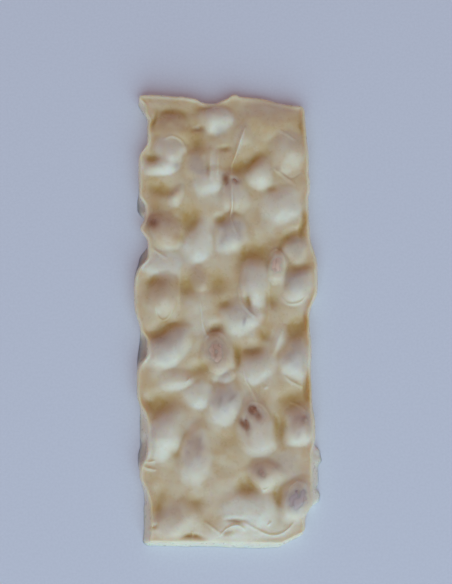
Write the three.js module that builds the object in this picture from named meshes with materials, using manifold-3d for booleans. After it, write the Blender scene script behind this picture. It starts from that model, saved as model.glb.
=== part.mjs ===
// A hand-poured bar of white chocolate with whole nuts set in it. The chocolate lies over most of the
// nuts as a thin skin, and leaves seven of them partly bare. Each bare nut is a solid of its own in a
// pocket of the chocolate. Millimetres and degrees: X across the bar, Y along it, Z up from the flat base.
import * as THREE from "three";
import { mergeVertices } from "three/addons/utils/BufferGeometryUtils.js";
import Module from "manifold-3d";

// ---- Driving dimensions ----
const HALF_WIDTH = 37.2; // from the middle line to the upper edge of a long side
const HALF_LENGTH = 96; // from the middle to the upper edge of the near and far ends
const SLAB_HEIGHT = 8.6; // chocolate between the nuts
const EDGE_HEIGHT = 8.2; // top beside the edge, before it rounds down into the wall
const EDGE_BLEND = 4.5; // width of the band where the top comes down to the edge
const LIP_HEIGHT = 0.7; // low raised lip that runs just inside the edge
const LIP_INSET = 0.9;
const LIP_WIDTH = 1;
const SHOULDER = 1.3; // how far inside the rim the top starts to round down into the wall
const SHOULDER_DROP = 1.3; // how far the rim lies below the top
const DOME_SPREAD = 1.2; // how far the dome over a nut reaches, as a share of the nut's outline
const FLOW_POWER = 2; // how domes that meet run into each other: 1 adds them, more keeps them apart
const SKIN = 0.4; // chocolate over the top of a nut
const SIDE_SKIN = 1.2; // chocolate round a nut
const LEAST_COVER = 0.7; // chocolate and pocket gap over a bare nut outside its openings
const COVER_REACH = 2; // how far beyond a bare nut's outline that chocolate comes down to the nut's middle
const POCKET_GAP = 0.3; // air round a bare nut in its pocket
const OPENING_HALF_HEIGHT = 2.8; // of the oval cutter that opens the skin over a bare nut
const OPENING_LIFT = 1.6; // from the nut up to the middle of that cutter
const NUT_TAPER = 0.16; // share by which a nut is slimmer at its pointed end
const NUT_FLATNESS = 0.66; // a nut's thickness over its width
const CELLS_ACROSS = 28;
const CELLS_ALONG = 68;
const EDGE_CELL = 0.9; // width of the grid's first and last cell
const NUT_SIDES = 14; // faces round a nut, and rings of faces along it
const NUT_RINGS = 9;
const OPENING_SIDES = 12;
const OPENING_RINGS = 6;
const WALL_STEPS = [0.1, 0.5, 1]; // how far down the wall each ring of points lies
const BASE_END_CELLS = 4; // cells at each end of the base that one fan of faces fills
const BASE_FAN_INSET = 4; // from the end of the bar to the middle of that fan

// ---- Outline ----
// Each side is a straight line with swells: [where along the side, reach, how far out (+) or in (-)].
const LEFT_SWELLS = [
  [93, 5, -2.6],
  [83, 7.5, -4],
  [48, 5.5, -2.6],
  [31.5, 7, -3.6],
  [11, 11.5, 2.6],
  [-12, 6, -2.8],
  [-28.5, 9, 1.8],
  [-50.5, 11, -2.5],
  [-66, 4.5, 1],
  [-86, 13, -3.2],
];
const RIGHT_SWELLS = [
  [70, 7, 0.6],
  [60, 31, 0.9],
  [58.8, 4, 0.8],
  [36, 6, 0.5],
  [18.3, 12.6, 4],
  [-14, 6, 0.5],
  [-35, 5, 0.2],
  [-48.5, 7.5, 1.3],
  [-91, 8.5, -4.1],
];
const FAR_SWELLS = [
  [-26, 9, 1],
  [-14.5, 5, 0.9],
  [-5.5, 5, -0.9],
  [5.8, 2, 1],
  [13.5, 12.5, 3.7],
  [33, 8, 1.4],
];
const LEFT_FOOT_SWELLS = [
  [85.5, 10, -4.5],
  [52, 4, 0.7],
  [38.6, 8, -4.5],
  [14, 10.5, 2.4],
  [-24, 12.5, 1.4],
  [-48, 8, 0.5],
  [-61.5, 5, 1.4],
  [-77.5, 4, -1.1],
  [-88, 8, -0.9],
];
// A thin flash of chocolate stands out at the foot of the right side, near the end.
const RIGHT_FLASH = [
  [-60.8, 3.8, 3.4],
  [-69.5, 6.5, 2.3],
  [-79.3, 3.2, 2.8],
];
const NEAR_FOOT_SWELLS = [
  [8, 10, 0.4],
  [-18.5, 3, 0.2],
];
const RIM = {
  left: { line: HALF_WIDTH, slant: 0, swells: LEFT_SWELLS, chamferFrom: Infinity },
  right: { line: HALF_WIDTH, slant: 0, swells: RIGHT_SWELLS, chamferFrom: Infinity },
  far: { line: HALF_LENGTH + 1.4, slant: -0.1, swells: FAR_SWELLS, chamferFrom: Infinity },
  near: { line: HALF_LENGTH + 1.4, slant: 0.03, swells: [], chamferFrom: 22.5 },
};
// The wall leans out to the foot.
const FOOT = {
  left: { line: HALF_WIDTH + 0.8, slant: 0, swells: LEFT_FOOT_SWELLS, chamferFrom: Infinity },
  right: {
    line: HALF_WIDTH + 0.5,
    slant: 0,
    swells: [...RIGHT_SWELLS, ...RIGHT_FLASH],
    chamferFrom: Infinity,
  },
  far: { line: HALF_LENGTH + 1.5, slant: -0.1, swells: FAR_SWELLS, chamferFrom: Infinity },
  near: { line: HALF_LENGTH + 3.8, slant: 0.03, swells: NEAR_FOOT_SWELLS, chamferFrom: 21.5 },
};
const CHAMFER_SLOPE = 0.5; // the near right corner runs off at a slant
const CORNER_RADIUS = 3;
const CORNER_INSET = CORNER_RADIUS * (1 - Math.SQRT1_2); // middle of a rounded corner, along either side

// ---- Nuts and hollows ----
// Covered nuts: [x, y, half length, half width, turn of the length from +X, rise above the slab].
const COVERED_NUTS = [
  [-22, 85.4, 8, 7.4, 90, 3.6],
  [-23.4, 75.4, 7.2, 7.6, 0, 3.6],
  [-27.6, 68.6, 9, 4, 0, 2.2],
  [-3, 89.8, 7.8, 6.6, 10, 3.9],
  [10, 83, 5.6, 4.4, 80, 1.1],
  [29, 74.6, 9.8, 8, 90, 3],
  [16.2, 64.8, 7, 5.6, 100, 2.8],
  [-11, 68.6, 7.4, 6, 90, 1.5],
  [-5.6, 61.2, 8, 5.8, 15, 1.9],
  [-20.6, 54.6, 5.4, 3, 66, 1.5],
  [26, 50, 9.6, 8, 10, 2.4],
  [3.6, 38, 9, 7.4, 85, 3],
  [-11.6, 34, 9, 7.4, 75, 1.9],
  [-26.6, 25.4, 9.4, 6.4, 175, 1],
  [-26.2, 11.8, 9.4, 7.2, 85, 3.8],
  [-11.4, 17.8, 5.4, 3.8, 100, 1.3],
  [13.4, 15.8, 11.4, 6.8, 88, 4],
  [32.6, 31, 6.4, 6, 0, 1.4],
  [31.6, 15.3, 8.6, 8.2, 30, 3.6],
  [7.4, 0.8, 9, 7.6, 10, 2.6],
  [-25.2, -11, 11.8, 7.8, 33, 3.7],
  [14.2, -20.6, 9.2, 7.2, 10, 1.7],
  [31, -17.6, 9, 7.2, 80, 2.9],
  [-21.6, -26, 7.4, 5, 5, 1.4],
  [0.9, -25, 4.2, 3.6, 0, 1.8],
  [-0.4, -35.8, 9.2, 7.8, 75, 3.2],
  [-11.6, -32.6, 8, 5.6, 0, 1.6],
  [-27.2, -48.6, 12, 7.6, 62, 3.7],
  [31.4, -46.8, 8.4, 7.2, 85, 3.5],
  [-14, -57.6, 12.8, 7, 76, 3.2],
  [25.8, -63, 9, 7, 60, 0.5],
  [-24.6, -86, 10.4, 9, 10, 1.7],
  [10, -82, 13, 8.6, 5, 1.3],
  [22, 88, 16, 8.6, 175, 2],
];
// Nuts that show, with the openings in the skin over each: [x, y, half length, half width, turn].
const BARE_NUTS = [
  {
    name: "nut_upper_left",
    nut: [-26.4, 39.4, 9.8, 7, 135, 3.8],
    openings: [[-31.4, 43.1, 1.9, 1.3, 10]],
  },
  {
    name: "nut_upper_middle",
    nut: [4.6, 56.4, 9.6, 6.2, 95, 3.6],
    openings: [
      [1.6, 61.6, 3, 1.4, 95],
      [6.2, 61.2, 1.8, 1.3, 10],
    ],
  },
  {
    name: "nut_middle_right",
    nut: [23.2, 22.6, 8, 5, 80, 3.2],
    openings: [[23.2, 22.8, 4, 2.2, 80]],
  },
  {
    name: "nut_centre",
    nut: [-3.6, -15.9, 10.2, 7, 100, 3.6],
    openings: [[-4, -14.4, 5.4, 3, 104]],
  },
  {
    name: "nut_lower_middle",
    nut: [12.5, -46.8, 13, 8, 97, 4],
    openings: [
      [11.1, -39.2, 3, 2, 115],
      [8.3, -46.2, 2.8, 1.4, 105],
    ],
  },
  {
    name: "nut_lower_right",
    nut: [16.3, -68, 8, 7.2, 20, 3],
    openings: [[14.8, -66.8, 1.9, 1.2, 110]],
  },
  {
    name: "nut_corner",
    nut: [29.8, -78.6, 9.8, 7.4, 69, 3.6],
    openings: [[30, -78.2, 4.8, 3.4, 69]],
  },
];
// Broad ups and downs of the top, far wider than a nut: the same numbers as a covered nut.
const LAND = [
  [20, 98, 24, 11, 0, -2.1],
  [-20, 100, 22, 9, 0, -0.9],
  [-3, 71, 6, 9, 0, 1.4],
  [-2, 50, 14, 9, 90, 0.8],
  [-2, -97, 44, 6, 0, -0.9],
];
// Where the lip along the edge fades out: the same numbers again, without a rise.
const LIP_GAPS = [[20, 98, 18, 9, 0], [0, -98, 70, 8, 0]];
// Hollows between the nuts: the same numbers, with a depth in place of the rise.
const HOLLOWS = [
  [-27.9, 57.7, 7, 4, 0, 1.7],
  [-31.6, 71, 3.6, 2.6, 0, 1.6],
  [-14.8, 45.2, 6.4, 4.4, 90, 1.9],
  [-0.4, 43.9, 3.4, 3, 0, 1.6],
  [11, 70, 9, 4, 34, 2.5],
  [-10.8, 78.6, 3.8, 5.4, 0, 1.3],
  [-22, 92.6, 9, 2.4, -5, 1],
  [-7, 94, 4.4, 2, 0, 1.1],
  [-29.4, 16, 6.6, 4, 0, 1.6],
  [-15.6, 14.6, 6, 4.4, 90, 1.7],
  [-2.4, 16, 6.6, 5, 90, 1.6],
  [0.3, 6.4, 3.4, 3, 0, 1.3],
  [13.4, 29, 7.6, 4.8, 10, 1.8],
  [7, 25, 4.4, 2.4, 50, 0.6],
  [29.5, 35.8, 7, 3.3, 10, 1.7],
  [32, 21.6, 7, 2.6, 20, 1.4],
  [21, 7.6, 4.4, 3, 90, 1.2],
  [-27.4, -5, 9, 4, 25, 2.4],
  [-4.3, -4.4, 3.6, 2.6, 0, 1.7],
  [10.5, -13.8, 6, 4.4, 0, 1.7],
  [18.4, -6.8, 4.4, 3, 90, 1.3],
  [31.2, -4.6, 7.2, 4.4, 80, 2.1],
  [-29.6, -36.6, 8.2, 5, 5, 2.2],
  [22.4, -47, 7, 2.6, 90, 1.8],
  [28.8, -35.4, 7, 5, 20, 2.2],
  [-20.6, -46.6, 5, 3, 80, 0.5],
  [8, -72.6, 5, 4.2, 0, 1.8],
  [22, -77.6, 5, 2.8, 80, 1.6],
  [-30.4, -79.6, 6.8, 4, 80, 1.4],
  [-13.5, -79.6, 5, 4.4, 0, 1.2],
  [-9.6, -21.6, 8, 3, 5, 1.1],
];

// ---- Colours ----
const CHOCOLATE = new THREE.MeshStandardMaterial({ color: 0xe9dcbc, roughness: 0.38, metalness: 0 });
const NUT = new THREE.MeshStandardMaterial({ color: 0x9c5a3c, roughness: 0.6, metalness: 0 });

// ---- Outline functions ----
const mix = (a, b, share) => a + (b - a) * share;

const swellSum = (swells, place) =>
  swells.reduce((sum, [middle, reach, out]) => sum + out * Math.exp(-(((place - middle) / reach) ** 4)), 0);

// How far a side lies from the middle of the bar, before its corners are rounded.
function sideDistance(side, place) {
  const chamfer = CHAMFER_SLOPE * Math.max(0, place - side.chamferFrom);
  return side.line + side.slant * place + swellSum(side.swells, place) - chamfer;
}

// How far a rounded corner pulls a side in, at a distance along that side from the corner.
function cornerPull(distance) {
  if (distance >= CORNER_RADIUS) return 0;
  return CORNER_RADIUS - Math.sqrt(CORNER_RADIUS ** 2 - (CORNER_RADIUS - distance) ** 2);
}

// Where two sides meet: x from the long side, y from the end, each worked out from the other in turn.
function cornerOf(longSide, longSign, endSide, endSign) {
  let y = endSign * HALF_LENGTH;
  let x = 0;
  for (let round = 0; round < 12; round++) {
    x = longSign * sideDistance(longSide, y);
    y = endSign * sideDistance(endSide, x);
  }
  return { x, y };
}

// The four side curves of an outline. Each takes a share from 0 to 1 and gives a point.
function makeOutline(sides) {
  const nearLeft = cornerOf(sides.left, -1, sides.near, -1);
  const nearRight = cornerOf(sides.right, 1, sides.near, -1);
  const farLeft = cornerOf(sides.left, -1, sides.far, 1);
  const farRight = cornerOf(sides.right, 1, sides.far, 1);
  const alongY = (side, sign, start, end) => (share) => {
    const y = mix(start.y + CORNER_INSET, end.y - CORNER_INSET, share);
    const pull = cornerPull(y - start.y) + cornerPull(end.y - y);
    return { x: sign * (sideDistance(side, y) - pull), y };
  };
  const alongX = (side, sign, start, end) => (share) => {
    const x = mix(start.x + CORNER_INSET, end.x - CORNER_INSET, share);
    const pull = cornerPull(x - start.x) + cornerPull(end.x - x);
    return { x, y: sign * (sideDistance(side, x) - pull) };
  };
  return {
    left: alongY(sides.left, -1, nearLeft, farLeft),
    right: alongY(sides.right, 1, nearRight, farRight),
    near: alongX(sides.near, -1, nearLeft, nearRight),
    far: alongX(sides.far, 1, farLeft, farRight),
  };
}

// A point inside an outline, spanned between its four sides (a Coons patch).
function spanned(outline, u, v) {
  const blend = (axis) => {
    const acrossEnds = mix(outline.near(u)[axis], outline.far(u)[axis], v);
    const acrossSides = mix(outline.left(v)[axis], outline.right(v)[axis], u);
    const nearCorners = mix(outline.near(0)[axis], outline.near(1)[axis], u);
    const farCorners = mix(outline.far(0)[axis], outline.far(1)[axis], u);
    return acrossEnds + acrossSides - mix(nearCorners, farCorners, v);
  };
  return { x: blend("x"), y: blend("y") };
}

// How far a point lies inside the rim.
function insetOf(x, y) {
  return Math.max(
    0,
    Math.min(
      x + sideDistance(RIM.left, y),
      sideDistance(RIM.right, y) - x,
      y + sideDistance(RIM.near, x),
      sideDistance(RIM.far, x) - y,
    ),
  );
}

// ---- Height of the top ----
// A point in the frame of a nut or hollow: along and across it, each as a share of its half size.
function localPlace([middleX, middleY, halfLength, halfWidth, turn], x, y) {
  const angle = THREE.MathUtils.degToRad(turn);
  const dx = x - middleX;
  const dy = y - middleY;
  const along = (dx * Math.cos(angle) + dy * Math.sin(angle)) / halfLength;
  const across = (dy * Math.cos(angle) - dx * Math.sin(angle)) / halfWidth;
  return { along, across };
}

// 0 at the middle of a nut, 1 at its outline.
function nutRadius(nut, x, y) {
  const { along, across } = localPlace(nut, x, y);
  return Math.hypot(along, across / (1 - NUT_TAPER * THREE.MathUtils.clamp(along, -1, 1)));
}

// How high the chocolate rises over a nut.
function domeOver(nut, x, y) {
  const share = nutRadius(nut, x, y) / DOME_SPREAD;
  return nut[5] * Math.max(0, 1 - share ** 2.3) ** 2;
}

// 1 at the middle of a hollow or broad rise, and soft towards its outline.
function bump(place, x, y) {
  const { along, across } = localPlace(place, x, y);
  return Math.exp(-1.2 * (along ** 2 + across ** 2));
}

// Half the thickness of a nut.
const halfThickness = ([, , , halfWidth]) => halfWidth * NUT_FLATNESS;

// Height of the upper face of a bare nut grown sideways and upwards, or no height beside it.
function nutTop(nut, wider, higher, x, y) {
  const [middleX, middleY, halfLength, halfWidth, turn, rise] = nut;
  const grown = wider - SIDE_SKIN;
  const radius = nutRadius([middleX, middleY, halfLength + grown, halfWidth + grown, turn], x, y);
  if (radius >= 1) return -Infinity;
  const half = halfThickness(nut);
  return SLAB_HEIGHT + rise - SKIN - half + (half + higher) * Math.sqrt(1 - radius ** 2);
}

const ALL_NUTS = [...COVERED_NUTS, ...BARE_NUTS.map(({ nut }) => nut)];

function topHeight(x, y) {
  const wave = 0.25 * Math.sin(x / 7 + y / 19) + 0.2 * Math.sin(y / 8.5 - x / 23);
  const domes = ALL_NUTS.reduce((sum, nut) => sum + domeOver(nut, x, y) ** FLOW_POWER, 0);
  let height = SLAB_HEIGHT - 0.3 + wave + domes ** (1 / FLOW_POWER);
  for (const hollow of HOLLOWS) {
    height -= hollow[5] * bump(hollow, x, y);
  }
  const inset = insetOf(x, y);
  const lipShare = LIP_GAPS.reduce((share, gap) => share * (1 - bump(gap, x, y)), 1);
  const lip = LIP_HEIGHT * lipShare * Math.exp(-(((inset - LIP_INSET) / LIP_WIDTH) ** 2));
  const rounding = Math.max(0, 1 - inset / SHOULDER) ** 2;
  const blend = THREE.MathUtils.smoothstep(inset, 0, EDGE_BLEND);
  height = mix(EDGE_HEIGHT, height, blend) + lip - SHOULDER_DROP * rounding;
  height += LAND.reduce((sum, land) => sum + land[5] * bump(land, x, y), 0);
  for (const { nut } of BARE_NUTS) height = Math.max(height, nutTop(nut, COVER_REACH, LEAST_COVER, x, y));
  return height;
}

// ---- Solids ----
// Shares at which the grid's lines lie: a narrow cell at each end and even cells between.
function gridShares(cells, length) {
  const first = EDGE_CELL / length;
  const shares = [0];
  for (let index = 0; index <= cells - 2; index++) shares.push(mix(first, 1 - first, index / (cells - 2)));
  return [...shares, 1];
}

// The chocolate before its pockets are cut: a grid over the top, rings down the wall and a flat base.
function slabGeometry() {
  const rim = makeOutline(RIM);
  const foot = makeOutline(FOOT);
  const acrossShares = gridShares(CELLS_ACROSS, 2 * HALF_WIDTH);
  const alongShares = gridShares(CELLS_ALONG, 2 * HALF_LENGTH);
  const positions = [];
  const faces = [];
  for (const v of alongShares) {
    for (const u of acrossShares) {
      const { x, y } = spanned(rim, u, v);
      positions.push(x, y, topHeight(x, y));
    }
  }
  const row = CELLS_ACROSS + 1;
  for (let j = 0; j < CELLS_ALONG; j++) {
    for (let i = 0; i < CELLS_ACROSS; i++) {
      const corner = j * row + i;
      faces.push(corner, corner + 1, corner + row + 1);
      faces.push(corner, corner + row + 1, corner + row);
    }
  }
  // The grid's border, anticlockwise from the near left corner, with the foot below each of its points.
  const border = [];
  for (let i = 0; i < CELLS_ACROSS; i++) border.push([i, foot.near(acrossShares[i])]);
  for (let j = 0; j < CELLS_ALONG; j++) border.push([j * row + CELLS_ACROSS, foot.right(alongShares[j])]);
  for (let i = CELLS_ACROSS; i > 0; i--) border.push([CELLS_ALONG * row + i, foot.far(acrossShares[i])]);
  for (let j = CELLS_ALONG; j > 0; j--) border.push([j * row, foot.left(alongShares[j])]);

  let upper = border.map(([index]) => index);
  for (const step of WALL_STEPS) {
    const lower = border.map(([index, footPoint]) => {
      const [x, y, z] = positions.slice(3 * index, 3 * index + 3);
      return positions.push(mix(x, footPoint.x, step), mix(y, footPoint.y, step), z * (1 - step)) / 3 - 1;
    });
    upper.forEach((here, k) => {
      const next = (k + 1) % upper.length;
      faces.push(here, lower[k], lower[next]);
      faces.push(here, lower[next], upper[next]);
    });
    upper = lower;
  }

  // The flat base: strips across it, and at each end a fan of faces round a point on the middle line.
  const at = (k) => upper[(k + upper.length) % upper.length];
  for (let j = BASE_END_CELLS; j < CELLS_ALONG - BASE_END_CELLS; j++) {
    faces.push(at(-j), at(CELLS_ACROSS + j + 1), at(CELLS_ACROSS + j));
    faces.push(at(-j), at(-j - 1), at(CELLS_ACROSS + j + 1));
  }
  for (const [first, sign] of [[-BASE_END_CELLS, -1], [CELLS_ACROSS + CELLS_ALONG - BASE_END_CELLS, 1]]) {
    const middle = positions.push(0, sign * (HALF_LENGTH - BASE_FAN_INSET), 0) / 3 - 1;
    const last = first + CELLS_ACROSS + 2 * BASE_END_CELLS;
    for (let k = first; k < last; k++) faces.push(middle, at(k + 1), at(k));
    faces.push(middle, at(first), at(last));
  }

  const geometry = new THREE.BufferGeometry();
  geometry.setAttribute("position", new THREE.Float32BufferAttribute(positions, 3));
  geometry.setIndex(faces);
  return geometry;
}

// A ball drawn out to three half sizes, slimmer towards +X by the taper, then turned and placed.
function ovalGeometry([x, y, halfLength, halfWidth, turn], halfHeight, z, taper, sides, rings) {
  const geometry = new THREE.SphereGeometry(1, sides, rings);
  geometry.rotateX(Math.PI / 2);
  const position = geometry.attributes.position;
  for (let i = 0; i < position.count; i++) {
    const slim = 1 - taper * position.getX(i);
    position.setY(i, position.getY(i) * slim);
  }
  geometry.scale(halfLength, halfWidth, halfHeight);
  geometry.rotateZ(THREE.MathUtils.degToRad(turn));
  geometry.translate(x, y, z);
  return geometry;
}

// A bare nut, grown all round by an amount that is 0 for the nut itself.
function nutGeometry(nut, grown) {
  const [x, y, halfLength, halfWidth, turn, rise] = nut;
  const half = halfThickness(nut);
  const middle = SLAB_HEIGHT + rise - SKIN - half;
  const outline = [x, y, halfLength - SIDE_SKIN + grown, halfWidth - SIDE_SKIN + grown, turn];
  return ovalGeometry(outline, half + grown, middle, NUT_TAPER, NUT_SIDES, NUT_RINGS);
}

// The cutter that opens the skin over a nut. It reaches a little below the skin's inner face.
function openingGeometry(nut, opening) {
  const [x, y] = opening;
  const level = nutTop(nut, 0, 0, x, y) + OPENING_LIFT;
  return ovalGeometry(opening, OPENING_HALF_HEIGHT, level, 0, OPENING_SIDES, OPENING_RINGS);
}

// ---- Joining and cutting ----
const wasm = await Module();
wasm.setup();

function solidOf(geometry) {
  const bare = geometry.clone();
  bare.deleteAttribute("normal");
  bare.deleteAttribute("uv");
  const merged = mergeVertices(bare, 1e-4);
  return new wasm.Manifold(
    new wasm.Mesh({
      numProp: 3,
      vertProperties: merged.attributes.position.array,
      triVerts: new Uint32Array(merged.index.array),
    }),
  );
}

function geometryOf(solid) {
  const { vertProperties, triVerts } = solid.getMesh();
  const geometry = new THREE.BufferGeometry();
  geometry.setAttribute("position", new THREE.BufferAttribute(vertProperties, 3));
  geometry.setIndex(new THREE.BufferAttribute(triVerts, 1));
  geometry.computeVertexNormals();
  return geometry;
}

function namedMesh(name, geometry, material) {
  const mesh = new THREE.Mesh(geometry, material);
  mesh.name = name;
  return mesh;
}

// ---- The bar ----
function makeChocolate() {
  let chocolate = solidOf(slabGeometry());
  for (const { nut, openings } of BARE_NUTS) {
    chocolate = chocolate.subtract(solidOf(nutGeometry(nut, POCKET_GAP)));
    for (const opening of openings) {
      chocolate = chocolate.subtract(solidOf(openingGeometry(nut, opening)));
    }
  }
  return namedMesh("chocolate_bar", geometryOf(chocolate), CHOCOLATE);
}

const bar = new THREE.Group();
bar.add(makeChocolate());
for (const { name, nut } of BARE_NUTS) bar.add(namedMesh(name, nutGeometry(nut, 0), NUT));

// The origin is the middle of the base of the whole bar's box.
const box = new THREE.Box3().setFromObject(bar);
const middle = box.getCenter(new THREE.Vector3());
bar.position.set(-middle.x, -middle.y, -box.min.z);

export default bar;
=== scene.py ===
"""The looks of a bar of white chocolate with whole nuts: a fine chocolate surface, the nuts that show
through it, their materials, a pale floor, soft studio light and the camera.
The bar's lengths are millimetres in its own frame, and become metres in one place, at BarFrame. The
stage and the materials are in metres from the start."""

import math
from collections import namedtuple

import bpy
import numpy as np
from mathutils import Matrix, Vector
from mathutils.geometry import tessellate_polygon


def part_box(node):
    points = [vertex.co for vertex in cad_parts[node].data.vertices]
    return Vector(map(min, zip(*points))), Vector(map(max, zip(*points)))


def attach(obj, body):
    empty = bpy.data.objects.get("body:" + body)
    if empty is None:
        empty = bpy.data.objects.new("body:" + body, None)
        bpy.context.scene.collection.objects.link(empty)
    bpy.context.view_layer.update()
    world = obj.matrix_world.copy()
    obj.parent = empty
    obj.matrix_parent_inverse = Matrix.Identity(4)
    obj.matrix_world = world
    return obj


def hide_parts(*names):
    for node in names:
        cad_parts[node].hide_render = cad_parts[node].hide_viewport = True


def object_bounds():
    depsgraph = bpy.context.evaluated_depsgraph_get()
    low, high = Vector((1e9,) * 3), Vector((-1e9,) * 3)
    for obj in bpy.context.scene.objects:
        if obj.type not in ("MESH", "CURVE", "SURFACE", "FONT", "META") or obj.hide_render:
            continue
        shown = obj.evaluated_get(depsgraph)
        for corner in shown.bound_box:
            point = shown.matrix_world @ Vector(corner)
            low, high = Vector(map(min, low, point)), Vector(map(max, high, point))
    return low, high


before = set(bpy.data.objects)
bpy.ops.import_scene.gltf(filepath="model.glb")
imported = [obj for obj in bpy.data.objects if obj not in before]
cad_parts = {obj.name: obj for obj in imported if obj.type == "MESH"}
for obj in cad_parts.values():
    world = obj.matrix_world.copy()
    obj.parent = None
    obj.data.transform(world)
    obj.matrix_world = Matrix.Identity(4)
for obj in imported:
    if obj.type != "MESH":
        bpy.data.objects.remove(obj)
cad_low, cad_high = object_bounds()

# ---- Driving dimensions, in millimetres ----
HALF_WIDTH = 37.2  # from the middle line to the upper edge of a long side, before its swells
HALF_LENGTH = 96.0  # from the middle to the near and far ends, before RIM_OUT
SLAB_HEIGHT = 8.6  # chocolate between the nuts
EDGE_HEIGHT = 8.2  # top beside the edge, before it rounds down into the wall
EDGE_BLEND = 4.5  # width of the band where the top comes down to the edge
LIP_HEIGHT = 0.7  # low raised lip that runs just inside the edge
LIP_INSET = 0.9
LIP_WIDTH = 1.0
LIP_UNEVENNESS = 0.6  # share by which the lip's height comes and goes
SHOULDER = 1.3  # how far inside the rim the top starts to round down into the wall
SHOULDER_DROP = 1.3  # how far that brings the rim down
SKIN = 0.4  # chocolate over the top of a nut
SIDE_SKIN = 1.2  # chocolate round a nut
DOME_SPREAD = 1.2  # how far the dome over a nut reaches, as a share of the nut's outline
DOME_FULLNESS = 2.3  # more keeps a dome high farther out
FLOW_POWER = 2.0  # how domes that meet run into each other: 1 adds them, more keeps them apart
NUT_TAPER = 0.16  # share by which a nut is slimmer at its pointed end, and wider at the other
NUT_FLATNESS = 0.66  # a nut's thickness over its width
NUT_RINGS = 72  # bands of faces from tip to tip of a nut, and faces round it
NUT_SIDES = 96
CHAMFER_SLOPE = 0.5  # of the slant at which the near right corner runs off
CORNER_RADIUS = 3.0
CORNER_INSET = CORNER_RADIUS * (1 - math.sqrt(0.5))  # middle of a rounded corner, along either side
CORNER_ROUNDS = 12  # of working out a corner's two coordinates from each other
CELLS_ACROSS = 178  # of the grid over the top
CELLS_ALONG = 440
WALL_RINGS = 13
WALL_BULGE = 0.35  # how far the wall wanders in and out between its rim and its foot
WARP = 1.0  # how far the flow pushes lumps and hollows out of shape
WARP_CELL = 7.0
FILLET = 1.2  # how softly the slab runs up onto a bare nut
THIN_FILM = 0.12  # chocolate over a bare nut close to its openings
FILM = 0.25  # least chocolate over a bare nut farther off
OPENING_DIP = 0.06  # how far the chocolate lies below a nut's skin inside an opening

# ---- Outline: each side is a line with swells (where, reach, how far out) ----
# How far each side's line lies beyond HALF_WIDTH or HALF_LENGTH, and the slope of the two ends' lines.
RIM_OUT = {"left": 0.0, "right": 0.0, "far": 1.4, "near": 1.4}
FOOT_OUT = {"left": 0.8, "right": 0.5, "far": 1.5, "near": 3.8}
FAR_SLANT = -0.1
NEAR_SLANT = 0.03
LEFT_SWELLS = [
    (93, 5, -2.6),
    (83, 7.5, -4),
    (48, 5.5, -2.6),
    (31.5, 7, -3.6),
    (11, 11.5, 2.6),
    (-12, 6, -2.8),
    (-28.5, 9, 1.8),
    (-50.5, 11, -2.5),
    (-66, 4.5, 1),
    (-86, 13, -3.2),
]
RIGHT_SWELLS = [
    (70, 7, 0.6),
    (60, 31, 0.9),
    (58.8, 4, 0.8),
    (36, 6, 0.5),
    (18.3, 12.6, 4),
    (-14, 6, 0.5),
    (-35, 5, 0.2),
    (-48.5, 7.5, 1.3),
    (-91, 8.5, -4.1),
]
FAR_SWELLS = [
    (-26, 9, 1),
    (-14.5, 5, 0.9),
    (-5.5, 5, -0.9),
    (5.8, 2, 1),
    (13.5, 12.5, 3.7),
    (33, 8, 1.4),
]
LEFT_FOOT_SWELLS = [
    (85.5, 10, -4.5),
    (52, 4, 0.7),
    (38.6, 8, -4.5),
    (14, 10.5, 2.4),
    (-24, 12.5, 1.4),
    (-48, 8, 0.5),
    (-61.5, 5, 1.4),
    (-77.5, 4, -1.1),
    (-88, 8, -0.9),
]
RIGHT_FLASH = [
    (-60.8, 3.8, 3.4),
    (-69.5, 6.5, 2.3),
    (-79.3, 3.2, 2.8),
]
NEAR_FOOT_SWELLS = [
    (8, 10, 0.4),
    (-18.5, 3, 0.2),
]


class Side:
    """One side of an outline: its distance from the middle of the bar."""

    def __init__(self, line, swells, slant=0.0, chamfer_from=math.inf):
        self.line = line
        self.swells = swells
        self.slant = slant
        self.chamfer_from = chamfer_from

    def distance(self, place):
        place = np.asarray(place, float)
        out = self.line + self.slant * place
        for middle, reach, swell in self.swells:
            out = out + swell * np.exp(-(((place - middle) / reach) ** 4))
        return out - CHAMFER_SLOPE * np.maximum(0.0, place - self.chamfer_from)


RIM = {
    "left": Side(HALF_WIDTH + RIM_OUT["left"], LEFT_SWELLS),
    "right": Side(HALF_WIDTH + RIM_OUT["right"], RIGHT_SWELLS),
    "far": Side(HALF_LENGTH + RIM_OUT["far"], FAR_SWELLS, slant=FAR_SLANT),
    "near": Side(HALF_LENGTH + RIM_OUT["near"], [], slant=NEAR_SLANT, chamfer_from=22.5),
}
FOOT = {
    "left": Side(HALF_WIDTH + FOOT_OUT["left"], LEFT_FOOT_SWELLS),
    "right": Side(HALF_WIDTH + FOOT_OUT["right"], RIGHT_SWELLS + RIGHT_FLASH),
    "far": Side(HALF_LENGTH + FOOT_OUT["far"], FAR_SWELLS, slant=FAR_SLANT),
    "near": Side(HALF_LENGTH + FOOT_OUT["near"], NEAR_FOOT_SWELLS, slant=NEAR_SLANT, chamfer_from=21.5),
}

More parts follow.
